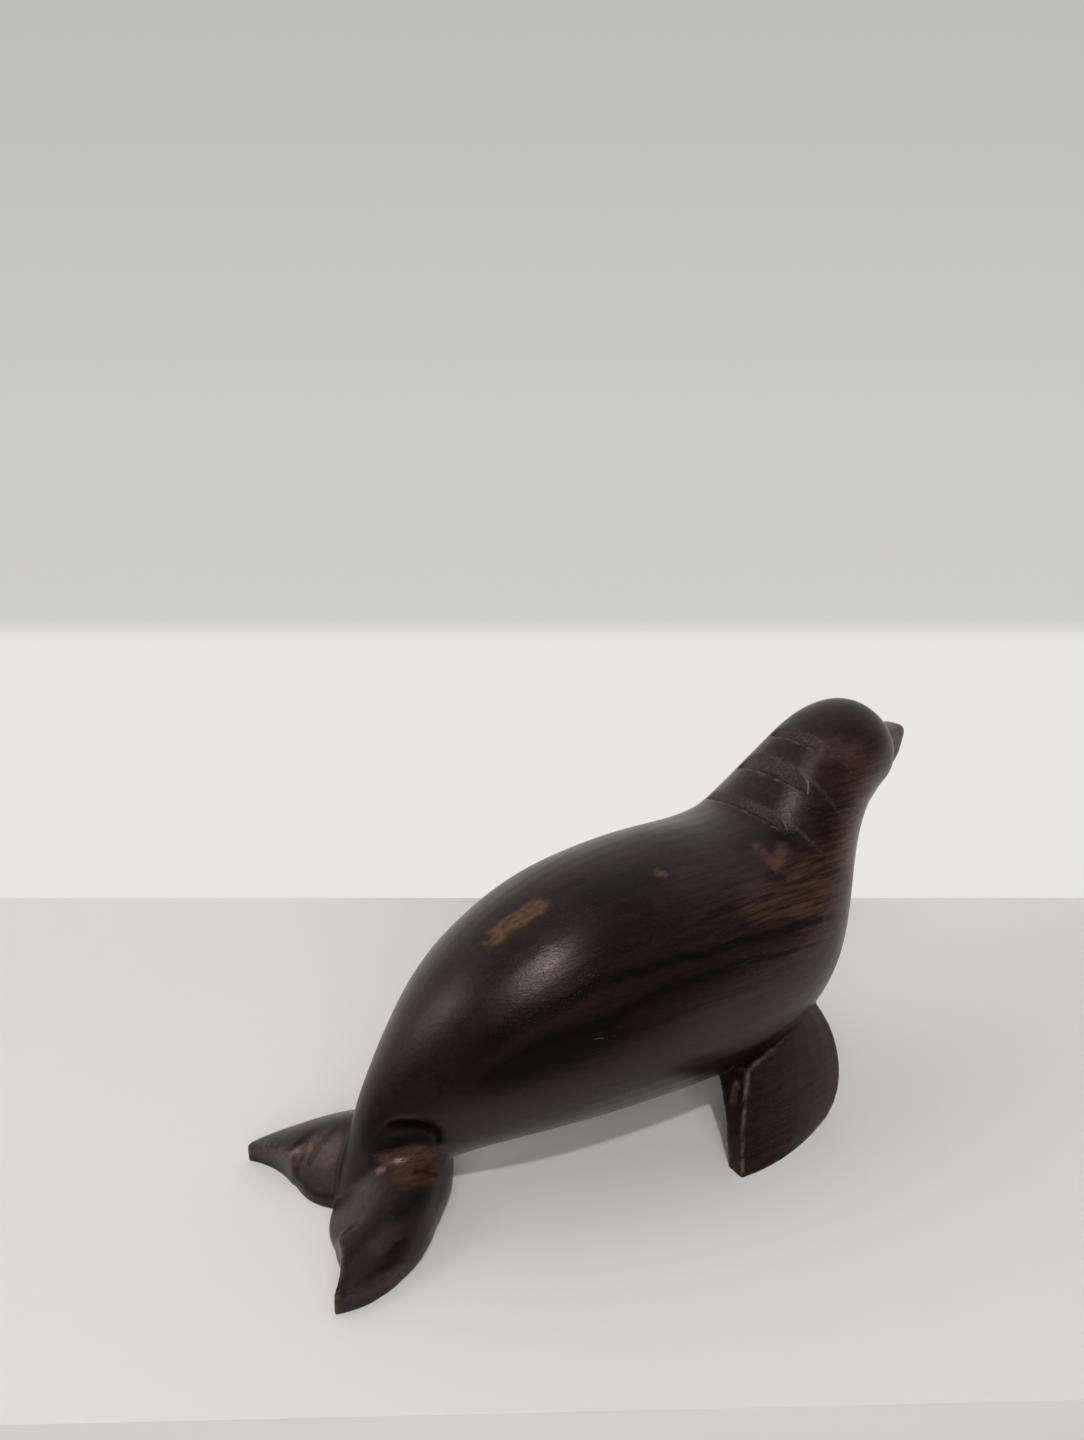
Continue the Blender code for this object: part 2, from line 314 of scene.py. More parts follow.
# %% Hind flippers and the hollows above them
def hind_flipper():
    """A flipper that swells to a ridge near its leading edge and lies flat on the ground."""
    steps = 30
    across = 16
    leading = smooth_through([(*edge, 0.0) for edge in LEADING_EDGE], steps)
    trailing = smooth_through([(*edge, 0.0) for edge in TRAILING_EDGE], steps)
    share = np.linspace(0.0, 1.0, steps)
    starts, heights, places = zip(*RIDGE)
    ridge = np.interp(share, starts, heights)
    places = np.interp(share, starts, places)
    thin = np.interp(share, *zip(*TRAILING))
    rings = []
    for lead, trail, top_z, place, edge_z, along in zip(
        leading, trailing, ridge, places, thin, share
    ):
        top, bottom = [], []
        for j in range(across + 1):
            u = j / across
            x, y = trail[:2] + (lead[:2] - trail[:2]) * u
            if u < place:
                rise = math.sin(math.pi / 2 * u / place)
                z = edge_z + (top_z - edge_z) * rise
            else:
                fall = math.sqrt(max(0.0, 1 - ((u - place) / (1 - place)) ** LEADING_FALL))
                z = top_z * (LEADING_SHARE + (1 - LEADING_SHARE) * fall)
            under = ROOT_CLEARANCE * (1 - along) ** 2 * max(0.0, 2 * u - 1) - 1.0
            top.append((x, y, z))
            bottom.append((x, y, under))
        rings.append(top + bottom[::-1])
    return both_sides(solid_from_rings("hind_flipper_mass", rings))


def hollow():
    shape = bmesh.new()
    bmesh.ops.create_uvsphere(shape, u_segments=32, v_segments=20, radius=1.0)
    for corner in shape.verts:
        stretched = [c * r for c, r in zip(corner.co, HOLLOW_REACH)]
        corner.co = (Vector(stretched) + Vector(HOLLOW_AT)) * MM
    return both_sides(object_from("tail_hollow", shape))


# %% [markdown]
# ## The crisp cuts
#
# Sanding rounds everything it touches, so the forms that are crisp on the real carving are cut
# after it: the scallops beside the tail tips, the folds on the nape, the front flippers with their
# sharp arrises, and the flat soles.

# %% Scallops and neck folds
def scallop():
    shape = bmesh.new()
    bmesh.ops.create_cone(
        shape,
        cap_ends=True,
        segments=96,
        radius1=SCALLOP_RADIUS * MM,
        radius2=SCALLOP_RADIUS * MM,
        depth=40.0 * MM,
    )
    for corner in shape.verts:
        corner.co += Vector((*SCALLOP_AT, 0.0)) * MM
    return both_sides(object_from("tip_scallop", shape))


def fold(index):
    """A wedge bent round the nape: a stop cut below, and a long slice that runs down to it."""
    (nape_x, nape_z), lean, reach, drop, depth, rise = FOLDS[index]
    along = Vector((math.cos(lean), 0.0, math.sin(lean)))
    inward = Vector((math.sin(lean), 0.0, -math.cos(lean)))
    nape = Vector((nape_x, 0.0, nape_z))
    radius = (reach**2 + drop**2) / (2 * drop)
    middle = nape + inward * radius
    rings = []
    steps = 28
    for i in range(steps + 1):
        t = (2 * i / steps - 1) * FOLD_OVERSHOOT
        turn = math.asin(min(1.0, reach / radius)) * t
        outward = Vector((0.0, math.sin(turn), 0.0)) - inward * math.cos(turn)
        edge = middle + outward * (radius - depth * (1 - t**8))
        rings.append(
            (
                edge,
                edge + outward * FOLD_OUT,
                edge + outward * FOLD_OUT + along * (FOLD_OUT * rise / depth),
            )
        )
    return solid_from_rings(f"fold_cut_{index + 1}", rings)


# %% Front flippers
def edge_at(edge, height):
    heights = [h for _, h in edge]
    return float(np.interp(height, heights, [x for x, _ in edge]))


def paddle():
    """The left front flipper: a gently swelling outer face that leans out to the ground, and a
    plate that thickens up to its root, ending in an arris that stands proud of the chest."""
    forward = Vector((math.cos(PADDLE_TOE_IN), -math.sin(PADDLE_TOE_IN), 0.0))
    outward = Vector((math.sin(PADDLE_TOE_IN), math.cos(PADDLE_TOE_IN), 0.0))
    up = Vector((0.0, 0.0, math.cos(PADDLE_LEAN))) - outward * math.sin(PADDLE_LEAN)
    inward = -(outward * math.cos(PADDLE_LEAN) + Vector((0.0, 0.0, math.sin(PADDLE_LEAN))))
    heel = edge_at(PADDLE_REAR, 0.0)
    foot = Vector((heel, PADDLE_FOOT_Y, 0.0))
    front = smooth_through([(x, h, 0.0) for x, h in PADDLE_FRONT], 60)
    front = [(x, h) for x, h, _ in front]
    lowest = PADDLE_FRONT[0][1]
    rows, columns = 12, 6
    rings = []
    for i in range(rows + 1):
        climb = (i / rows) ** PADDLE_CLIMB
        outer, inner = [], []
        for j in range(columns + 1):
            s = j / columns
            top = PADDLE_ARRIS[0] + (PADDLE_ARRIS[1] - PADDLE_ARRIS[0]) * s
            height = lowest + (top - lowest) * climb
            rear_x = edge_at(PADDLE_REAR, height)
            x = rear_x + (edge_at(front, height) - rear_x) * s
            swell = PADDLE_BULGE * (1 - (2 * s - 1) ** 2)
            place = foot + forward * (x - heel) + up * height - inward * swell
            share = max(0.0, height) / PADDLE_ARRIS[0]
            thickness = PADDLE_THICKNESS + (PADDLE_ROOT_THICKNESS - PADDLE_THICKNESS) * share**2
            outer.append(place)
            inner.append(place + inward * thickness)
        rings.append(outer + inner[::-1])
    made = solid_from_rings("front_flipper", rings)
    rounding = made.modifiers.new("Softened edges", "BEVEL")
    rounding.width = PADDLE_EDGE_ROUNDING * MM
    rounding.segments = 2
    rounding.limit_method = "ANGLE"
    rounding.angle_limit = math.radians(35.0)
    return both_sides(made)


# %% Ground
def ground():
    """What is sawn off below the ground, so that the figurine stands on flat soles."""
    shape = bmesh.new()
    bmesh.ops.create_cube(shape, size=1.0)
    for corner in shape.verts:
        corner.co = Vector(
            (corner.co.x * 400.0 + 100.0, corner.co.y * 200.0, corner.co.z * 40.0 - 20.0)
        ) * MM
    return object_from("ground_cut", shape)


# %% [markdown]
# ## Joining, sanding and cutting
#
# Modifiers do the joining. A voxel remesh turns the joined masses into one even skin, and a smooth
# modifier sands it, which melts the joins the way sandpaper does.

# %% Join, sand and cut
BODY_GRIT = 0.62
BODY_PASSES = 12
SKIN_GRIT = 0.5
SKIN_PASSES = 1
SKIN_TRIANGLES = 190000


def step(target, kind, name, **settings):
    made = target.modifiers.new(name, kind)
    for key, value in settings.items():
        setattr(made, key, value)
    return made


def join(target, tool, name):
    step(target, "BOOLEAN", name, operation="UNION", solver="EXACT", use_self=True, object=tool)


def cut(target, tool, name, crossing=False):
    settings = {"operation": "DIFFERENCE", "solver": "EXACT", "use_self": crossing}
    step(target, "BOOLEAN", name, **settings, object=tool)


def finish_steps(target):
    """Makes the modifiers' result the object's own mesh and clears the used tools away."""
    graph = bpy.context.evaluated_depsgraph_get()
    mesh = bpy.data.meshes.new_from_object(target.evaluated_get(graph))
    tools = {made.object for made in target.modifiers if made.type == "BOOLEAN"}
    target.modifiers.clear()
    target.data = mesh
    for tool in tools:
        bpy.data.objects.remove(tool)
    mesh.calc_loop_triangles()
    return len(mesh.loop_triangles)


seal = body()
seal.name = "seal_carving"
join(seal, snout(), "Snout")
join(seal, hind_flipper(), "Hind flippers")
cut(seal, hollow(), "Tail hollows", crossing=True)
step(seal, "REMESH", "Even skin", mode="VOXEL", voxel_size=BODY_GRIT * MM)
step(seal, "SMOOTH", "Sanding", factor=0.5, iterations=BODY_PASSES)
print("sanded body, triangles:", finish_steps(seal))

# %% [markdown]
# The tail flows into the hind flippers without a seam on the real carving, where a round rasp and
# much more sanding went over the joint. A second smoothing melts it, held to that place by a
# vertex group.

# %% Melt the joint of tail and flippers
MELT_AT = (19.0, 8.5, 14.0)
MELT_REACH = (16.0, 8.5, 13.0)
MELT_PASSES = 70


def soft_step(value, low, high):
    share = np.clip((value - low) / (high - low), 0.0, 1.0)
    return share * share * (3.0 - 2.0 * share)


def read_points(mesh):
    flat = np.empty(len(mesh.vertices) * 3)
    mesh.vertices.foreach_get("co", flat)
    return flat.reshape(-1, 3)


body_points = read_points(seal.data) / MM
body_points[:, 1] = np.abs(body_points[:, 1])
melt_distance = np.linalg.norm((body_points - MELT_AT) / np.array(MELT_REACH), axis=1)
melt_share = soft_step(-melt_distance, -1.0, -0.45)
melting = seal.vertex_groups.new(name="melting")
for index in np.flatnonzero(melt_share > 0.01):
    melting.add([int(index)], float(melt_share[index]), "REPLACE")
step(seal, "SMOOTH", "Melted joint", factor=0.5, iterations=MELT_PASSES, vertex_group="melting")
finish_steps(seal)
print("melted points:", int((melt_share > 0.01).sum()))

# %% Cut the crisp forms
cut(seal, scallop(), "Scalloped tips", crossing=True)
for number in range(len(FOLDS)):
    cut(seal, fold(number), f"Fold {number + 1}")
join(seal, paddle(), "Front flippers")
print("with the crisp cuts, triangles:", finish_steps(seal))

step(seal, "REMESH", "Fine skin", mode="VOXEL", voxel_size=SKIN_GRIT * MM)
step(seal, "SMOOTH", "Last rub", factor=0.5, iterations=SKIN_PASSES)
cut(seal, ground(), "Flat soles")
fine = finish_steps(seal)
step(seal, "DECIMATE", "Fewer faces", ratio=min(1.0, SKIN_TRIANGLES / fine))
print("fine skin, triangles:", fine, "kept:", finish_steps(seal))

# %% [markdown]
# ## Marks left by the hand
#
# A surface that was rasped and sanded by hand is never perfectly even: long, shallow waves bend the
# highlights. They are moved into the mesh as a slow noise of about a tenth of a millimetre, because
# a bump would be lost on the exported shape. The soles stay flat, since the seal stands on them.

# %% Slow waves in the skin, kept inside the plain model's box
WAVE_LENGTH = 17.0
WAVE_HEIGHT = 0.16
WAVES_START_AT = 3.0


def read_normals(mesh):
    flat = np.empty(len(mesh.vertices) * 3)
    mesh.vertices.foreach_get("normal", flat)
    return flat.reshape(-1, 3)


skin = seal.data
points = read_points(skin)
waves = np.array([noise.noise(Vector(p) / (WAVE_LENGTH * MM)) for p in points])
ground_fade = np.clip(points[:, 2] / (WAVES_START_AT * MM), 0.0, 1.0)
points += read_normals(skin) * (waves * ground_fade * WAVE_HEIGHT * MM)[:, None]
points[:, 0] -= MIDDLE_X * MM
points = np.clip(points, np.array(plain_low), np.array(plain_high))
skin.vertices.foreach_set("co", points.ravel())
skin.update()
print("waves, mm:", round(float(np.ptp(waves)) * WAVE_HEIGHT, 3))

# %% [markdown]
# ## Masks for the arrises, the creases and the folds, with wear and painted highlight and shade
#
# Handling rubs the dark surface off the sharp edges, and the lighter tan laid on them is partly a
# painted highlight along each arris. The creases are darkened as painted shade. Both are found from
# the mesh: each point is compared with the average of its neighbours, which lies inside the wood at
# an edge and outside it in a crease. The slices of the folds, and the lips below their stop cuts
# that are painted as a highlight, are found from the same table that cut them.

# %% Edge, crease and fold masks, stored on the points
WEAR_REACH = 9
WEAR_DEPTH = 0.16
CREASE_REACH = 40
CREASE_DEPTH = 0.5
SLICE_FADE = (-0.35, -0.15)
LIP_SHIFT = 0.12
LIP_WIDTH = 0.4


def averaged(values, ends, count, rounds):
    """Values averaged with their neighbours' along the edges, several times over."""
    degree = np.bincount(ends.ravel(), minlength=count).astype(float)
    for _ in range(rounds):
        total = np.stack(
            [
                np.bincount(ends[:, 0], values[ends[:, 1], k], count)
                + np.bincount(ends[:, 1], values[ends[:, 0], k], count)
                for k in range(values.shape[1])
            ],
            axis=1,
        )
        values = 0.5 * values + 0.5 * total / degree[:, None]
    return values


edge_ends = np.empty(len(skin.edges) * 2, dtype=np.int64)
skin.edges.foreach_get("vertices", edge_ends)
edge_ends = edge_ends.reshape(-1, 2)
outward = read_normals(skin)
near = averaged(points, edge_ends, len(points), WEAR_REACH)
far = averaged(near, edge_ends, len(points), CREASE_REACH - WEAR_REACH)
bulge_near = np.einsum("ij,ij->i", points - near, outward) / MM
bulge_far = np.einsum("ij,ij->i", points - far, outward) / MM
# Convex arrises, later painted a lighter tan: partly rubbed wear, partly a painted highlight.
wear_and_edge_light = soft_step(bulge_near, WEAR_DEPTH * 0.35, WEAR_DEPTH)
# Concave places, later darkened toward near black as painted shade in the creases.
crease_shade = soft_step(-bulge_far, CREASE_DEPTH * 0.15, CREASE_DEPTH)
sliced = np.zeros(len(points))
lip_highlights = np.zeros(len(points))
for (nape_x, nape_z), lean, reach, drop, depth, rise in FOLDS:
    along_neck = np.array([math.cos(lean), 0.0, math.sin(lean)])
    inward = np.array([math.sin(lean), 0.0, -math.cos(lean)])
    radius = (reach**2 + drop**2) / (2 * drop)
    from_nape = points / MM + np.array([MIDDLE_X, 0.0, 0.0]) - np.array([nape_x, 0.0, nape_z])
    up_neck = from_nape @ along_neck
    out = np.hypot((from_nape - inward * radius) @ inward, from_nape[:, 1])
    gap = np.abs(out - (radius - depth + up_neck * depth / rise))
    on_slice = soft_step(-gap, *SLICE_FADE) * soft_step(up_neck, -0.2, 0.2)
    at_the_nape = (from_nape @ inward < radius) * 1.0
    below_its_start = soft_step(-up_neck, -rise - 0.3, -rise + 0.3)
    sliced = np.maximum(sliced, at_the_nape * on_slice * below_its_start)
    # The lips: a thin band just below each stop cut, later painted ochre as a highlight.
    at_the_ledge = np.exp(-(((up_neck + LIP_SHIFT) / LIP_WIDTH) ** 2))
    lip = at_the_ledge * soft_step(out, radius - depth + 0.05, radius - depth + 0.45)
    within_reach = soft_step(-np.abs(from_nape[:, 1]), -reach + 0.5, -reach + 2.5)
    lip_highlights = np.maximum(lip_highlights, at_the_nape * within_reach * lip)
for label, values in (("wear_and_edge_light", wear_and_edge_light), ("crease_shade", crease_shade), ("sliced", sliced), ("lip_highlights", lip_highlights)):
    layer = skin.attributes.new(label, "FLOAT", "POINT")
    layer.data.foreach_set("value", values.astype(np.float32))
    print(label, "points:", int((values > 0.5).sum()))
skin.shade_smooth()
skin.set_sharp_from_angle(angle=math.radians(50))

# %% [markdown]
# ## Node tools
#
# Materials are node trees. A few small helpers keep the cells short: the first adds a node and
# fills in its inputs, where a value that is a socket becomes a link, and the last two start a group
# with named sockets and place it.

# %% Helpers for nodes
def add(tree, kind, inputs=None, output=0, **settings):
    node = tree.nodes.new(kind)
    for key, value in settings.items():
        setattr(node, key, value)
    for key, value in (inputs or {}).items():
        if isinstance(value, bpy.types.NodeSocket):
            tree.links.new(value, node.inputs[key])
        else:
            node.inputs[key].default_value = value
    return node.outputs[output]


def sums(tree, operation, *values, clamp=False):
    places = dict(enumerate(values))
    return add(tree, "ShaderNodeMath", places, operation=operation, use_clamp=clamp)


def times(tree, first, *others):
    for other in others:
        first = sums(tree, "MULTIPLY", first, other)
    return first


def vectors(tree, operation, *values, output=0):
    return add(tree, "ShaderNodeVectorMath", dict(enumerate(values)), output, operation=operation)


def stretched_by(tree, vector, factor):
    return add(tree, "ShaderNodeVectorMath", {0: vector, "Scale": factor}, operation="SCALE")


def paint(red, green, blue):
    return (red, green, blue, 1.0)


def ramp(tree, value, low, high, to_low=0.0, to_high=1.0):
    """A soft step of a value from low to high."""
    places = {0: value, 1: low, 2: high, 3: to_low, 4: to_high}
    return add(tree, "ShaderNodeMapRange", places, interpolation_type="SMOOTHSTEP")


def blend(tree, share, first, second, kind="MIX"):
    made = tree.nodes.new("ShaderNodeMix")
    made.data_type = "RGBA"
    made.blend_type = kind
    for key, value in ((0, share), (6, first), (7, second)):
        if isinstance(value, bpy.types.NodeSocket):
            tree.links.new(value, made.inputs[key])
        else:
            made.inputs[key].default_value = value
    return made.outputs[2]


def plain_noise(tree, vector, detail, rough, output=0):
    settings = {"Vector": vector, "Scale": 1.0, "Detail": detail, "Roughness": rough}
    return add(tree, "ShaderNodeTexNoise", settings, output)


def grain_noise(tree, place, lengths, detail=3.0, rough=0.55, offset=(0.0, 0.0, 0.0)):
    """Noise whose cells have the given lengths in millimetres along X, Y and Z."""
    moved = vectors(tree, "ADD", vectors(tree, "DIVIDE", place, lengths), offset)
    return plain_noise(tree, moved, detail, rough)


def push_noise(tree, place, lengths, reach, detail, rough):
    """A noise that pushes a place about by up to half the reach each way."""
    colour = plain_noise(tree, vectors(tree, "DIVIDE", place, lengths), detail, rough, 1)
    return vectors(tree, "MULTIPLY", vectors(tree, "SUBTRACT", colour, (0.5, 0.5, 0.5)), reach)


def new_group(name, inputs, outputs):
    """A node group with named inputs, each a kind and a first value, and named outputs."""
    tree = bpy.data.node_groups.new(name, "ShaderNodeTree")
    for label, (kind, value) in inputs.items():
        made = tree.interface.new_socket(label, in_out="INPUT", socket_type="NodeSocket" + kind)
        if value is not None:
            made.default_value = value
    for label, kind in outputs.items():
        tree.interface.new_socket(label, in_out="OUTPUT", socket_type="NodeSocket" + kind)
    source = tree.nodes.new("NodeGroupInput")
    sink = tree.nodes.new("NodeGroupOutput")
    return tree, source.outputs, sink.inputs


def use_group(tree, group, output, **inputs):
    node = tree.nodes.new("ShaderNodeGroup")
    node.node_tree = group
    for key, value in inputs.items():
        socket = node.inputs[key.replace("_", " ")]
        if isinstance(value, bpy.types.NodeSocket):
            tree.links.new(value, socket)
        else:
            socket.default_value = value
    return node.outputs[output]


# %% [markdown]
# ## A stain inside the wood, also used for painted light and shade
#
# Knots, mineral stains and small pale flecks are local. Each is a soft capsule in space, from one
# point to another, with a ragged edge, so it is one node group that is placed many times with its
# own values. The same group also lays painted light and shade on a few places. Painting a texture
# would need an unwrapped mesh and would not go through the wood.

# %% Group: stain, also used for painted light and shade
stain_and_painted_light, given, result = new_group(
    "stain_and_painted_light",
    {
        "Place": ("Vector", None),
        "Warp": ("Vector", None),
        "From": ("Vector", None),
        "To": ("Vector", None),
        "Width": ("Float", 2.0),
        "Softness": ("Float", 0.4),
        "Ragged": ("Float", 0.5),
        "Strength": ("Float", 1.0),
    },
    {"Mask": "Float"},
)
pushed = stretched_by(stain_and_painted_light, given["Warp"], given["Ragged"])
moved = vectors(stain_and_painted_light, "ADD", given["Place"], pushed)
along = vectors(stain_and_painted_light, "SUBTRACT", given["To"], given["From"])
length_squared = vectors(stain_and_painted_light, "DOT_PRODUCT", along, along, output=1)
length_squared = sums(stain_and_painted_light, "ADD", length_squared, 0.0001)
apart = vectors(stain_and_painted_light, "SUBTRACT", moved, given["From"])
reached = vectors(stain_and_painted_light, "DOT_PRODUCT", apart, along, output=1)
reached = sums(stain_and_painted_light, "DIVIDE", reached, length_squared, clamp=True)
nearest = stretched_by(stain_and_painted_light, along, reached)
distance = vectors(stain_and_painted_light, "LENGTH", vectors(stain_and_painted_light, "SUBTRACT", apart, nearest), output=1)
share = sums(stain_and_painted_light, "DIVIDE", distance, given["Width"])
inner = sums(stain_and_painted_light, "SUBTRACT", 1.0, given["Softness"])
outer = sums(stain_and_painted_light, "ADD", 1.0, given["Softness"])
inside = ramp(stain_and_painted_light, share, inner, outer, 1.0, 0.0)
stain_and_painted_light.links.new(times(stain_and_painted_light, inside, given["Strength"]), result["Mask"])
print("group:", stain_and_painted_light.name, "nodes:", len(stain_and_painted_light.nodes))

# %% [markdown]
# ## Grain
#
# Ebony-like woods show three scales at once: broad bands where the tone shifts, long streaks a
# millimetre or so wide, and fine open pores. The trunk's axis runs from tail to head, so each
# scale is a noise stretched along X. Where a cut crosses the grain, as on the neck and the rear
# of the front flippers, the same noise shows as the short speckle of end grain.

# %% Group: grain
grain, given, result = new_group(
    "grain",
    {"Place": ("Vector", None)},
    {"Bands": "Float", "Streaks": "Float", "Fibres": "Float", "Pores": "Float"},
)
bands = grain_noise(grain, given["Place"], (60.0, 14.0, 5.5), 3.0, 0.6)
streaks = grain_noise(grain, given["Place"], (22.0, 1.5, 0.95), 4.0, 0.62, (3.0, 1.0, 7.0))
fibres = grain_noise(grain, given["Place"], (9.0, 0.42, 0.36), 3.0, 0.7, (8.0, 5.0, 2.0))
pores = grain_noise(grain, given["Place"], (3.2, 0.24, 0.24), 1.0, 0.5, (1.0, 9.0, 4.0))
grain.links.new(ramp(grain, bands, 0.32, 0.68), result["Bands"])
grain.links.new(ramp(grain, streaks, 0.33, 0.67), result["Streaks"])
grain.links.new(ramp(grain, fibres, 0.3, 0.7), result["Fibres"])
grain.links.new(ramp(grain, pores, 0.62, 0.72), result["Pores"])
print("group:", grain.name, "nodes:", len(grain.nodes))

# %% [markdown]
# ## Growth lines
#
# Two almost black growth lines run along each flank. They are thin sheets through the whole block,
# whose height changes along its length, so a float curve gives the height at each X.

# %% Group: growth line
growth_line, given, result = new_group(
    "growth_line",
    {
        "Place": ("Vector", None),
        "Height": ("Float", 50.0),
        "Width": ("Float", 1.0),
        "Strength": ("Float", 1.0),
    },
    {"Mask": "Float"},
)
split = add(growth_line, "ShaderNodeSeparateXYZ", {0: given["Place"]}, 2)
wobble = grain_noise(growth_line, given["Place"], (26.0, 12.0, 60.0), 2.0)
wobble = times(growth_line, sums(growth_line, "SUBTRACT", wobble, 0.5), 4.0)
off = sums(growth_line, "SUBTRACT", split, given["Height"])
off = sums(growth_line, "ABSOLUTE", sums(growth_line, "ADD", off, wobble))
frayed = grain_noise(growth_line, given["Place"], (14.0, 1.0, 0.7), 3.0, 0.65)
frayed = times(growth_line, sums(growth_line, "ADD", frayed, 0.45), given["Width"])
line = ramp(growth_line, sums(growth_line, "DIVIDE", off, frayed), 0.35, 1.5, 1.0, 0.0)
growth_line.links.new(times(growth_line, line, given["Strength"]), result["Mask"])
print("group:", growth_line.name, "nodes:", len(growth_line.nodes))

# %% [markdown]
# ## The wood of this seal
#
# The real piece is a very dark mauve brown with lighter cocoa streaks toward the chest and head.
# The colour starts from those two tones, mixed by the grain, and then takes the stains in order.

# %% Start of the material: place and grain
wood = bpy.data.materials.new("polished_dark_wood")
wood.use_nodes = True
tree = wood.node_tree
tree.nodes.clear()
where = stretched_by(tree, add(tree, "ShaderNodeTexCoord", output=3), 1.0 / MM)
place = vectors(tree, "ADD", where, (MIDDLE_X, 0.0, 0.0))
wander = push_noise(tree, place, (38.0, 24.0, 24.0), (0.0, 7.0, 7.0), 1.0, 0.5)
bent_place = vectors(tree, "ADD", place, wander)
grain_node = tree.nodes.new("ShaderNodeGroup")
grain_node.node_tree = grain
tree.links.new(bent_place, grain_node.inputs["Place"])
bands, streaks, fibres, pores = grain_node.outputs[:4]
warp = push_noise(tree, place, (6.0, 3.2, 3.2), (10.0, 7.0, 7.0), 4.0, 0.72)
print("grain masks:", [socket.name for socket in grain_node.outputs])

# %% Tones, mixed by the grain
DARK_MAUVE = paint(0.0042, 0.0021, 0.0020)
MAUVE = paint(0.0092, 0.0046, 0.0042)
COCOA = paint(0.030, 0.0145, 0.0105)
NEAR_BLACK = paint(0.0016, 0.0008, 0.0008)
RUST = paint(0.016, 0.0052, 0.0038)
TAN = paint(0.17, 0.115, 0.08)
OCHRE = paint(0.10, 0.047, 0.024)

colour = blend(tree, bands, DARK_MAUVE, MAUVE)
front = add(tree, "ShaderNodeSeparateXYZ", {0: bent_place}, 0)
toward_head = ramp(tree, front, 70.0, 135.0, 0.22, 0.75)
lit_streak = times(tree, sums(tree, "POWER", streaks, 1.6), toward_head)
colour = blend(tree, lit_streak, colour, COCOA)
colour = blend(tree, times(tree, fibres, 0.45), colour, DARK_MAUVE)
cloud = grain_noise(tree, place, (15.0, 7.0, 6.0), 4.0, 0.68, (4.0, 2.0, 6.0))
cloud = ramp(tree, cloud, 0.3, 0.7)
colour = blend(tree, times(tree, cloud, 0.45), colour, MAUVE)
speckle = grain_noise(tree, place, (1.6, 0.6, 0.6), 3.0, 0.7, (5.0, 5.0, 5.0))
speckle = ramp(tree, speckle, 0.45, 0.75)
colour = blend(tree, times(tree, speckle, 0.2), colour, COCOA)
print("tones: mauve to cocoa, more cocoa toward the head")

# %% [markdown]
# ## Streaky chest, rusty flank, growth lines and a painted dark reflection
#
# Below the knot on the shoulder the wood is streaked with orange brown. Between the two growth
# lines it turns rusty. Both are wide stains whose colour is broken up by the streaks. Two wide
# dark ones, which nothing breaks up, are a painted dark reflection on the flank below.

# %% Wide stains and a painted dark reflection
def stain_and_light_mask(where, start, end, width, softness, ragged, strength):
    return use_group(
        tree,
        stain_and_painted_light,
        "Mask",
        Place=where,
        Warp=warp,
        From=start,
        To=end,
        Width=width,
        Softness=softness,
        Ragged=ragged,
        Strength=strength,
    )


# Each row: start, end, width, softness, raggedness, strength, tone, and what breaks it up.
WIDE_STAINS_AND_PAINTED_SHADE = (
    ((119.0, -30.0, 63.0), (146.0, -26.0, 62.0), 8.0, 0.6, 1.0, 0.42, OCHRE, streaks),
    ((128.0, -30.0, 50.0), (150.0, -24.0, 48.0), 7.0, 0.6, 1.0, 0.32, OCHRE, streaks),
    ((152.0, -22.0, 62.0), (164.0, -12.0, 80.0), 8.0, 0.6, 1.0, 0.7, OCHRE, streaks),
    ((95.0, -33.0, 63.0), (122.0, -31.0, 66.0), 7.0, 0.7, 1.0, 0.35, COCOA, streaks),
    ((100.0, -20.0, 71.0), (120.0, -22.0, 70.0), 6.0, 0.7, 1.0, 0.4, COCOA, streaks),
    ((58.0, -28.0, 49.0), (125.0, -33.0, 53.0), 3.0, 0.7, 0.5, 0.75, RUST, streaks),
    ((90.0, -34.0, 40.0), (130.0, -34.0, 42.0), 7.0, 0.7, 1.0, 0.45, COCOA, streaks),
    ((150.0, -12.0, 88.0), (172.0, -12.0, 92.0), 9.0, 0.7, 1.0, 0.5, COCOA, cloud),
    # Painted dark reflection: these two rows darken the lower part of the right flank.
    ((40.0, -24.0, 36.0), (66.0, -31.0, 42.0), 6.0, 0.8, 0.5, 0.95, NEAR_BLACK, None),
    ((64.0, -33.0, 38.0), (100.0, -35.0, 46.0), 8.0, 0.9, 0.5, 0.55, NEAR_BLACK, None),
)
for *form, tone, breaking in WIDE_STAINS_AND_PAINTED_SHADE:
    mask = stain_and_light_mask(bent_place, *form)
    if breaking is not None:
        mask = times(tree, mask, breaking)
    colour = blend(tree, mask, colour, tone)
print("wide stains:", len(WIDE_STAINS_AND_PAINTED_SHADE))

# %% Growth lines along the flanks
# Each line: height at X. Each width: width at X.
UPPER_LINE = (
    (31.8, 34.6), (37.1, 40.4), (43.7, 45.1), (50.4, 49.1), (58.8, 51.8), (67, 54.6),
    (79.3, 55.2), (108.9, 55.7), (133.6, 54.6), (146, 51.8), (170, 47),
)
LOWER_LINE = (
    (38, 34), (52.2, 44.1), (62.3, 46), (72.2, 48), (83.1, 50.3), (97.8, 51.1),
    (114, 50.8), (128.4, 49.7), (160, 46),
)
UPPER_WIDTH = ((0, 2.6), (45, 2.4), (62, 1.7), (85, 1.15), (130, 1.1), (150, 0.6), (200, 0.5))
LOWER_WIDTH = ((0, 0.3), (44, 0.5), (55, 1.7), (85, 1.5), (115, 0.8), (135, 0.35), (200, 0.2))
CURVE_SPAN = 200.0
HIGHEST_LINE = 100.0
WIDEST_LINE = 4.0


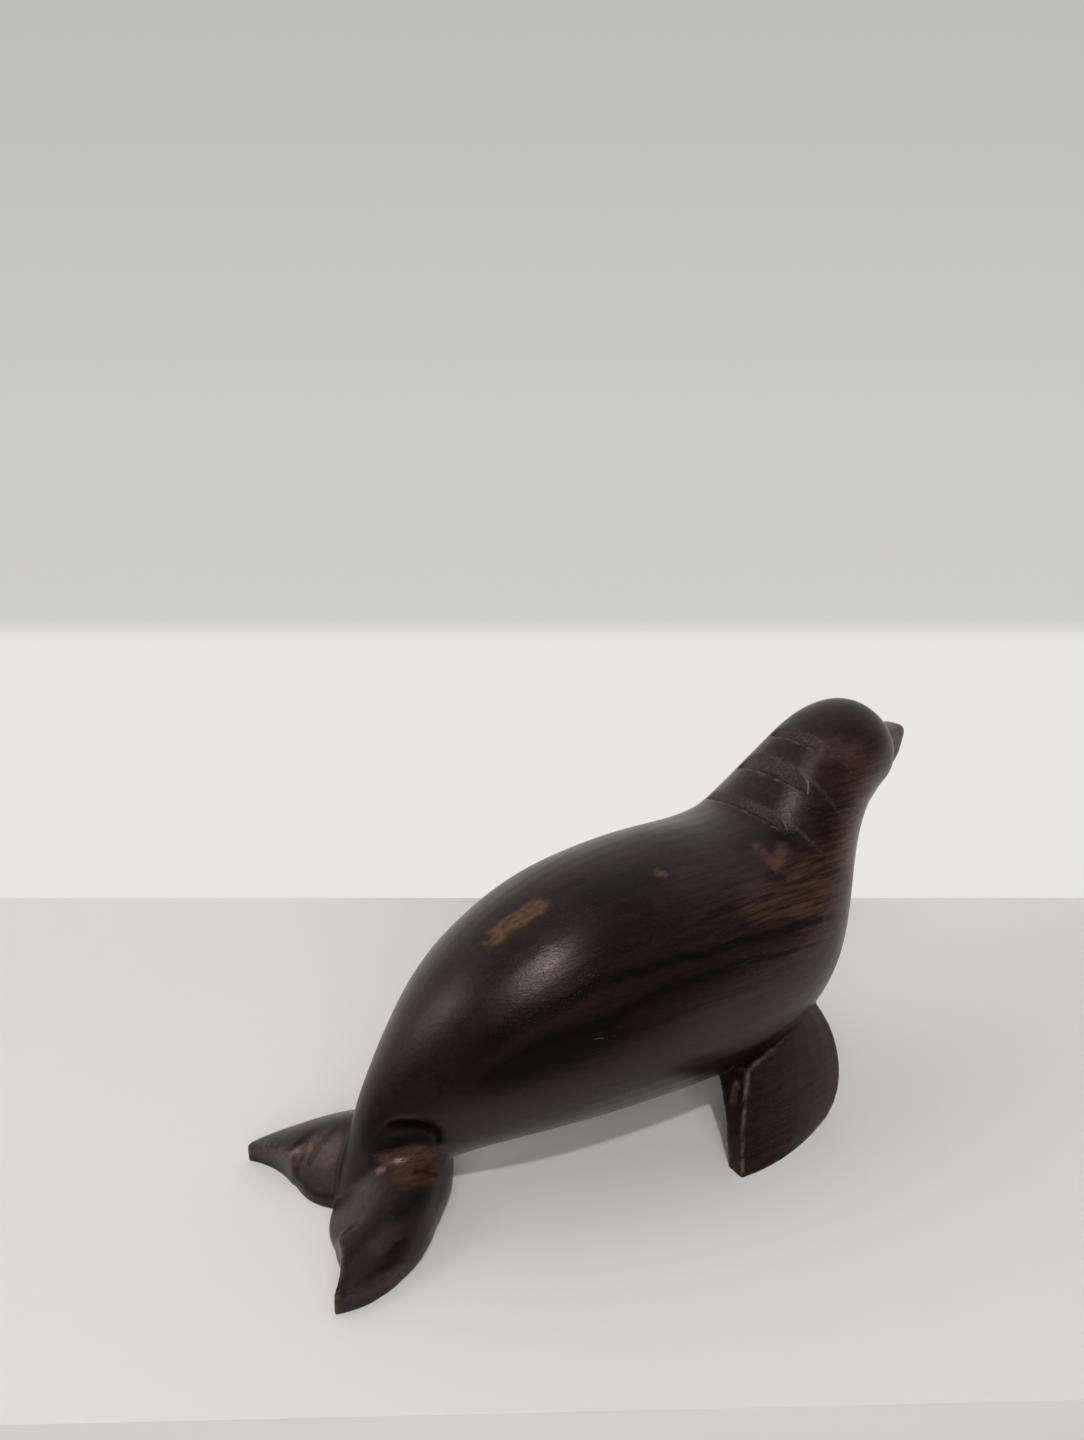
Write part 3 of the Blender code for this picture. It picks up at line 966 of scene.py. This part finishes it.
def along_body(tree, value, knots, tall):
    """A float curve that gives a height or a width at each X."""
    node = tree.nodes.new("ShaderNodeFloatCurve")
    curve = node.mapping.curves[0]
    ends = [(x / CURVE_SPAN, y / tall) for x, y in knots]
    curve.points[0].location = ends[0]
    curve.points[1].location = ends[-1]
    for at in ends[1:-1]:
        curve.points.new(*at)
    node.mapping.update()
    tree.links.new(sums(tree, "DIVIDE", value, CURVE_SPAN), node.inputs["Value"])
    return times(tree, node.outputs[0], tall)


# The lines fade out before the tail.
plain_x = add(tree, "ShaderNodeSeparateXYZ", {0: place}, 0)
for heights, widths in ((UPPER_LINE, UPPER_WIDTH), (LOWER_LINE, LOWER_WIDTH)):
    mask = use_group(
        tree,
        growth_line,
        "Mask",
        Place=place,
        Height=along_body(tree, plain_x, heights, HIGHEST_LINE),
        Width=along_body(tree, plain_x, widths, WIDEST_LINE),
        Strength=ramp(tree, plain_x, 30.0, 44.0, 0.0, 0.93),
    )
    colour = blend(tree, mask, colour, NEAR_BLACK)
print("growth lines: 2")

# %% [markdown]
# ## Knots and flecks, and some painted light and shade
#
# The marks that make this seal recognisable: the orange fleck on the back with a dark spot at
# each end, the dark knot on the crest, the swirled knot behind the neck, and the streaks and light
# patches of the hind flippers. A few rows are painted light and shade: the near black in the tail
# hollow, the lighter brown on the flipper root below it, the olive on the flipper's inner facet and
# the pale tan on the snout. The table stays short, because with 43 rows the wood rendered black.

# %% Small stains and painted light and shade, in order
# OLIVE is a lighter olive tone; on the inner facet of the right hind flipper it is painted light.
OLIVE = paint(0.040, 0.029, 0.021)
# Each row: start, end, width, softness, raggedness, strength and tone, laid on in this order.
SMALL_STAINS_AND_PAINTED_LIGHT = (
    ((76.0, -12.0, 68.4), (92.0, -12.5, 70.9), 4.8, 0.5, 0.5, 0.95, NEAR_BLACK),
    ((80.5, -17.3, 66.9), (85.0, -19.0, 66.0), 2.2, 0.6, 0.5, 0.7, NEAR_BLACK),
    ((92.8, -13.0, 70.7), (95.0, -14.5, 70.5), 0.9, 0.7, 0.5, 0.7, OCHRE),
    ((51.5, -3.4, 60.5), (63.5, -5.0, 65.9), 2.7, 0.4, 0.5, 0.95, OCHRE),
    ((48.6, 0.5, 58.9), (51.4, -2.3, 60.2), 1.3, 0.5, 0.5, 0.9, NEAR_BLACK),
    ((66.2, -3.6, 67.5), (76.0, -5.6, 70.0), 1.3, 0.5, 0.5, 0.8, NEAR_BLACK),
    ((42.4, 0.2, 54.4), (38.0, 2.8, 50.3), 0.9, 0.45, 0.2, 0.75, NEAR_BLACK),
    ((121.0, -13.0, 72.0), (135.5, -16.0, 72.6), 3.0, 0.6, 0.5, 0.85, NEAR_BLACK),
    ((125.2, -15.0, 71.5), (126.6, -20.5, 68.6), 1.6, 0.6, 0.5, 0.8, paint(0.055, 0.025, 0.019)),
    ((126.6, -21.5, 68.0), (131.8, -18.6, 70.3), 1.8, 0.6, 0.5, 0.8, paint(0.075, 0.034, 0.024)),
    ((123.4, -22.6, 66.6), (126.4, -24.0, 65.6), 1.5, 0.5, 0.5, 0.75, NEAR_BLACK),
    ((155.0, -9.0, 91.5), (162.0, -14.0, 91.0), 3.5, 0.7, 0.5, 0.5, paint(0.065, 0.036, 0.03)),
    # Painted light: a paler tan on the snout, where it catches the light.
    ((190.0, -4.0, 92.0), (200.0, -4.0, 88.0), 6.5, 0.3, 0.2, 0.6, paint(0.12, 0.088, 0.065)),
    # Painted light: the olive inner facet of the right hind flipper, which faces the panel behind
    # the tail.
    ((7.5, -9.0, 5.0), (14.0, -11.0, 11.0), 4.6, 0.6, 0.5, 0.8, OLIVE),
    ((2.5, -29.5, 4.2), (15.0, -28.6, 2.5), 1.6, 0.6, 0.5, 0.6, OLIVE),
    ((17.3, -23.5, 8.4), (12.0, -23.6, 8.0), 2.6, 0.7, 0.5, 0.55, COCOA),
    ((16.5, -25.4, 7.4), (12.0, -26.0, 6.8), 0.8, 0.6, 0.5, 0.7, NEAR_BLACK),
    ((30.2, -15.9, 7.1), (16.3, -19.8, 10.6), 2.3, 0.5, 0.5, 0.95, NEAR_BLACK),
    ((16.3, -19.8, 10.6), (5.8, -21.5, 7.6), 1.2, 0.6, 0.5, 0.9, NEAR_BLACK),
    ((5.8, -21.5, 7.6), (2.3, -24.2, 6.3), 1.0, 0.6, 0.5, 0.8, NEAR_BLACK),
    # Painted shade: near black laid into the hollow beside the tail, where shade falls.
    ((19.5, -6.8, 19.5), (29.0, -11.0, 20.2), 5.8, 0.3, 0.2, 1.0, NEAR_BLACK),
    # Painted light: a lighter reddish brown on the upward rim of the flipper root, below the
    # hollow.
    ((19.3, -7.8, 14.9), (30.7, -13.1, 16.2), 1.8, 0.6, 0.5, 0.75, paint(0.07, 0.033, 0.022)),
    ((22.2, -13.5, 13.4), (30.0, -14.5, 12.5), 2.8, 0.6, 0.5, 0.5, OCHRE),
    ((24.8, -13.9, 13.4), (30.9, -14.9, 10.2), 0.6, 0.6, 0.2, 0.8, NEAR_BLACK),
    ((17.7, -8.7, 13.1), (18.6, -9.2, 13.3), 0.8, 0.7, 0.2, 0.55, TAN),
    ((7.0, 15.0, 8.2), (13.0, 11.0, 9.5), 4.6, 0.6, 0.5, 0.8, paint(0.055, 0.031, 0.026)),
    ((8.2, 14.4, 7.6), (10.0, 14.4, 8.1), 1.2, 0.6, 0.5, 0.6, OCHRE),
    ((11.8, 17.1, 10.0), (7.3, 17.2, 8.3), 0.8, 0.5, 0.2, 0.9, NEAR_BLACK),
    ((16.5, 12.8, 12.5), (8.6, 11.8, 6.2), 0.9, 0.5, 0.5, 0.9, NEAR_BLACK),
    ((0.0, 26.0, 4.0), (5.0, 20.0, 4.0), 2.4, 0.4, 0.2, 0.6, OLIVE),
    ((106.5, -31.5, 16.0), (104.5, -33.0, 12.5), 1.1, 0.7, 0.5, 0.4, TAN),
    ((62.8, -29.9, 43.1), (67.7, -31.1, 43.0), 0.13, 0.8, 0.2, 0.5, TAN),
)
mottled = grain_noise(tree, place, (4.5, 1.3, 1.3), 4.0, 0.75, (8.0, 1.0, 2.0))
mottled = ramp(tree, mottled, 0.36, 0.6, 0.35, 1.0)
for *form, tone in SMALL_STAINS_AND_PAINTED_LIGHT:
    mask = stain_and_light_mask(place, *form)
    if tone is not NEAR_BLACK:
        mask = times(tree, mask, mottled)
    colour = blend(tree, mask, colour, tone)
print("small stains:", len(SMALL_STAINS_AND_PAINTED_LIGHT))

# %% [markdown]
# ## Wear, painted highlight and shade, polish and the shader
#
# The arrises get a lighter tan, partly rubbed wear and partly a painted highlight, the creases get
# painted shade, and pores catch a little dust.
# The polish is thin wax, so there is no separate coat: the roughness of the wood itself varies.
# The reflection has a warm tint, as the highlights on the real wood do.

# %% Wear, painted highlight and shade, and pores
DARK_END_GRAIN = paint(0.014, 0.0085, 0.0075)
PALE_END_GRAIN = paint(0.085, 0.062, 0.05)
SLICE_SHARE, DOT_SHARE, LIP_HIGHLIGHT_SHARE = 0.7, 0.5, 0.5
WEAR_AND_HIGHLIGHT_SHARE, CREASE_SHADE_SHARE, PORE_SHARE = 0.36, 0.6, 0.35
wear_and_edge_light_mask = add(tree, "ShaderNodeAttribute", attribute_name="wear_and_edge_light", output=2)
crease_shade_mask = add(tree, "ShaderNodeAttribute", attribute_name="crease_shade", output=2)
patchy = ramp(tree, grain_noise(tree, place, (4.0, 2.2, 2.2), 4.0, 0.65), 0.36, 0.6)
wear_and_highlight_share = times(tree, wear_and_edge_light_mask, patchy, WEAR_AND_HIGHLIGHT_SHARE)
end_grain = add(tree, "ShaderNodeAttribute", attribute_name="sliced", output=2)
dots = grain_noise(tree, place, (1.4, 0.55, 0.55), 4.0, 0.75, (2.0, 8.0, 3.0))
dots = ramp(tree, dots, 0.42, 0.66)
colour = blend(tree, times(tree, end_grain, SLICE_SHARE), colour, DARK_END_GRAIN)
colour = blend(tree, times(tree, end_grain, dots, DOT_SHARE), colour, PALE_END_GRAIN)
# Painted highlight: the lip below each fold's stop cut is laid on in ochre, as the line of light on
# it.
lip_highlight_mask = add(tree, "ShaderNodeAttribute", attribute_name="lip_highlights", output=2)
colour = blend(tree, times(tree, lip_highlight_mask, patchy, LIP_HIGHLIGHT_SHARE), colour, OCHRE)
# The arrises turn a lighter tan: partly rubbed wear, partly a painted highlight along each edge.
colour = blend(tree, wear_and_highlight_share, colour, TAN)
# Painted shade: the creases are darkened toward near black.
colour = blend(tree, times(tree, crease_shade_mask, CREASE_SHADE_SHARE), colour, NEAR_BLACK)
colour = blend(tree, times(tree, pores, PORE_SHARE), colour, NEAR_BLACK)
print("masks from the points: worn, creased, sliced, lips")

# %% Polish
POLISHED_TO_DULL = (0.27, 0.37)
WORN_DULLS, CREASE_DULLS, SLICE_DULLS = 0.12, 0.15, 0.12
FIBRE_RELIEF, PORE_RELIEF, STREAK_RELIEF = -0.5, -1.0, 0.6
RELIEF_STRENGTH, RELIEF_HEIGHT = 0.35, 0.00006
smear = grain_noise(tree, place, (16.0, 9.0, 9.0), 3.0, 0.6)
dulled = times(tree, crease_shade_mask, CREASE_DULLS)
dulled = sums(tree, "ADD", times(tree, wear_and_edge_light_mask, WORN_DULLS), dulled)
dulled = sums(tree, "ADD", dulled, times(tree, end_grain, SLICE_DULLS))
roughness = sums(tree, "ADD", ramp(tree, smear, 0.25, 0.75, *POLISHED_TO_DULL), dulled)
relief = times(tree, pores, PORE_RELIEF)
relief = sums(tree, "ADD", times(tree, fibres, FIBRE_RELIEF), relief)
relief = sums(tree, "ADD", relief, times(tree, streaks, STREAK_RELIEF))
settings = {"Strength": RELIEF_STRENGTH, "Distance": RELIEF_HEIGHT, "Height": relief}
bump = add(tree, "ShaderNodeBump", settings)
shader = tree.nodes.new("ShaderNodeBsdfPrincipled")
shader.inputs["IOR"].default_value = 1.5
shader.inputs["Specular IOR Level"].default_value = 0.38
shader.inputs["Specular Tint"].default_value = (1.0, 0.80, 0.77, 1.0)
tree.links.new(colour, shader.inputs["Base Color"])
tree.links.new(roughness, shader.inputs["Roughness"])
tree.links.new(bump, shader.inputs["Normal"])
surface = tree.nodes.new("ShaderNodeOutputMaterial")
tree.links.new(shader.outputs[0], surface.inputs["Surface"])
skin.materials.clear()
skin.materials.append(wood)
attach(seal, "root")
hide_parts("seal")
print("material:", wood.name, "nodes:", len(tree.nodes))

# %% [markdown]
# ## Shelf, wall and camera
#
# The seal stands on a white painted shelf against a white wall. The wall matters: its bright
# reflection draws the rim of light along the back and the chest. It is seen from its front only,
# so that a view from behind isn't blocked.

# %% Camera
CAMERA_AT = (-158.2, -198.85, 174.16)
CAMERA_RIGHT = (0.84037, -0.54201, 0.0)
CAMERA_UP = (0.14028, 0.21750, 0.96593)
CAMERA_AHEAD = (0.52354, 0.81174, -0.25882)
camera_data = bpy.data.cameras.new("photo_camera")
camera_data.sensor_width = 36.0
camera_data.lens = 25.925
camera_data.clip_start = 0.01
camera = bpy.data.objects.new("photo_camera", camera_data)
bpy.context.scene.collection.objects.link(camera)
axes = Matrix((CAMERA_RIGHT, CAMERA_UP, [-value for value in CAMERA_AHEAD])).transposed()
camera.matrix_world = Matrix.Translation(Vector(CAMERA_AT) * MM) @ axes.to_4x4()
bpy.context.scene.camera = camera

# %% Shelf and wall
# Points are in millimetres from the middle of the seal. The sheets' own sizes are in metres.
SHELF_FRONT = ((-160.3, -18.7), (11.8, -123.5))
SHELF_HALF = 3.0
WALL_THROUGH = (46.7, 118.8)
WALL_HALF = 3.0
WALL_HEIGHT = 2.2
SHADE_LINE = 107.0
EDGE_DROP = 25.0


def flat_sheet(name, corners):
    mesh = bpy.data.meshes.new(name)
    mesh.from_pydata(corners, [], [(0, 1, 2, 3)])
    made = bpy.data.objects.new(name, mesh)
    bpy.context.scene.collection.objects.link(made)
    return made


def paint_finish(name, tone):
    made = bpy.data.materials.new(name)
    made.use_nodes = True
    main = made.node_tree.nodes["Principled BSDF"]
    main.inputs["Base Color"].default_value = tone
    main.inputs["Roughness"].default_value = 0.6
    main.inputs["Specular IOR Level"].default_value = 0.2
    return made


wall_along = Vector((CAMERA_RIGHT[0], CAMERA_RIGHT[1], 0.0)).normalized()
wall_base = Vector((WALL_THROUGH[0], WALL_THROUGH[1], 0.0)) * MM
left_end, right_end = wall_base - wall_along * WALL_HALF, wall_base + wall_along * WALL_HALF
wall_up = Vector((0.0, 0.0, WALL_HEIGHT))
wall = flat_sheet("wall", [left_end, right_end, right_end + wall_up, left_end + wall_up])
front_left, front_right = (Vector((x, y, 0.0)) * MM for x, y in SHELF_FRONT)
front_along = (front_right - front_left).normalized()
to_wall = wall_base.dot(Vector((-wall_along.y, wall_along.x, 0.0)))
to_front = -front_left.dot(Vector((-front_along.y, front_along.x, 0.0)))
print("shelf depth at the seal, mm:", round((to_wall + to_front) / MM))
front_left -= front_along * SHELF_HALF
front_right += front_along * SHELF_HALF
shelf = flat_sheet("shelf", [front_left, front_right, right_end, left_end])
shelf_paint = paint_finish("white_shelf_paint", paint(0.74, 0.727, 0.71))
drop = Vector((0.0, 0.0, -EDGE_DROP * MM))
edge_corners = [front_left + drop, front_right + drop, front_right, front_left]
edge_face = flat_sheet("shelf_edge", edge_corners)
for sheet in (shelf, edge_face):
    sheet.data.materials.append(shelf_paint)

# %% [markdown]
# The wall's tone has painted shade: lighter below, darker above the line of the shadow that the
# shelf over it casts, and darker still toward the top. It glows with this painted tone to the
# camera and to reflections, and is ordinary paint for the rest.

# %% Wall finish, with painted shade
wall_paint = paint_finish("white_wall_paint", paint(0.8, 0.8, 0.78))
nodes = wall_paint.node_tree
height = add(nodes, "ShaderNodeSeparateXYZ", {0: add(nodes, "ShaderNodeNewGeometry", output=0)}, 2)
# Painted shadow of the shelf above: the wall darkens above the shade line, and more toward the top.
lower = ramp(nodes, height, (SHADE_LINE - 5.0) * MM, (SHADE_LINE + 5.0) * MM)
tone = blend(nodes, lower, paint(0.80, 0.79, 0.76), paint(0.62, 0.615, 0.59))
upper = ramp(nodes, height, SHADE_LINE * MM, (SHADE_LINE + 260.0) * MM, 0.0, 0.6)
tone = blend(nodes, upper, tone, paint(0.42, 0.42, 0.41))
# The wall glows with its painted tone where the camera or a reflection sees it.
glow = add(nodes, "ShaderNodeEmission", {"Color": tone, "Strength": 1.0})
rays = nodes.nodes.new("ShaderNodeLightPath")
seen = sums(nodes, "MAXIMUM", rays.outputs["Is Camera Ray"], rays.outputs["Is Glossy Ray"])
plain_wall = nodes.nodes["Principled BSDF"].outputs[0]
front_face = add(nodes, "ShaderNodeMixShader", {0: seen, 1: plain_wall, 2: glow})
clear = add(nodes, "ShaderNodeBsdfTransparent")
behind = add(nodes, "ShaderNodeNewGeometry", output=6)
both_faces = add(nodes, "ShaderNodeMixShader", {0: behind, 1: front_face, 2: clear})
nodes.links.new(both_faces, nodes.nodes["Material Output"].inputs["Surface"])
wall.data.materials.append(wall_paint)
print("wall normal:", [round(v, 2) for v in wall.data.polygons[0].normal])

# %% [markdown]
# ## Light
#
# A small lamp above the camera's side casts the crisp shadow, and a large panel low on that side
# fills it. Both are kept out of reflections. A lamp that only reflections see draws the highlight
# on the back, and a panel behind the tail lights the crest. The room around is dim.

# %% Panels and room
def panel(name, direction, distance, size, watts, mirrored=True, lighting=True):
    data = bpy.data.lights.new(name, "AREA")
    data.shape = "RECTANGLE"
    data.size, data.size_y = size
    data.energy = watts
    made = bpy.data.objects.new(name, data)
    bpy.context.scene.collection.objects.link(made)
    toward = Vector(direction).normalized()
    made.location = Vector((0.0, 0.0, 0.05)) + toward * distance
    made.rotation_euler = toward.to_track_quat("Z", "Y").to_euler()
    made.visible_glossy = mirrored
    made.visible_diffuse = lighting


panel("glow_lamp", (-0.36, -0.30, 0.88), 1.0, (0.08, 0.16), 2.8, lighting=False)
panel("shadow_lamp", (-0.28, -0.53, 0.80), 1.0, (0.05, 0.05), 3.2, mirrored=False)
panel("room_fill", (-0.54, -0.84, 0.38), 1.3, (1.2, 0.8), 12.0, mirrored=False)
panel("tail_panel", (-0.77, 0.34, 0.54), 1.0, (0.5, 0.36), 1.6)

room = bpy.data.worlds.new("room")
room.use_nodes = True
nodes = room.node_tree
rays = nodes.nodes.new("ShaderNodeLightPath")
around = add(nodes, "ShaderNodeRGB")
around.default_value = paint(0.1, 0.098, 0.096)
shown = blend(nodes, rays.outputs["Is Camera Ray"], around, paint(0.6, 0.6, 0.59))
nodes.links.new(shown, nodes.nodes["Background"].inputs["Color"])
bpy.context.scene.world = room
bpy.context.scene.view_settings.view_transform = "Standard"
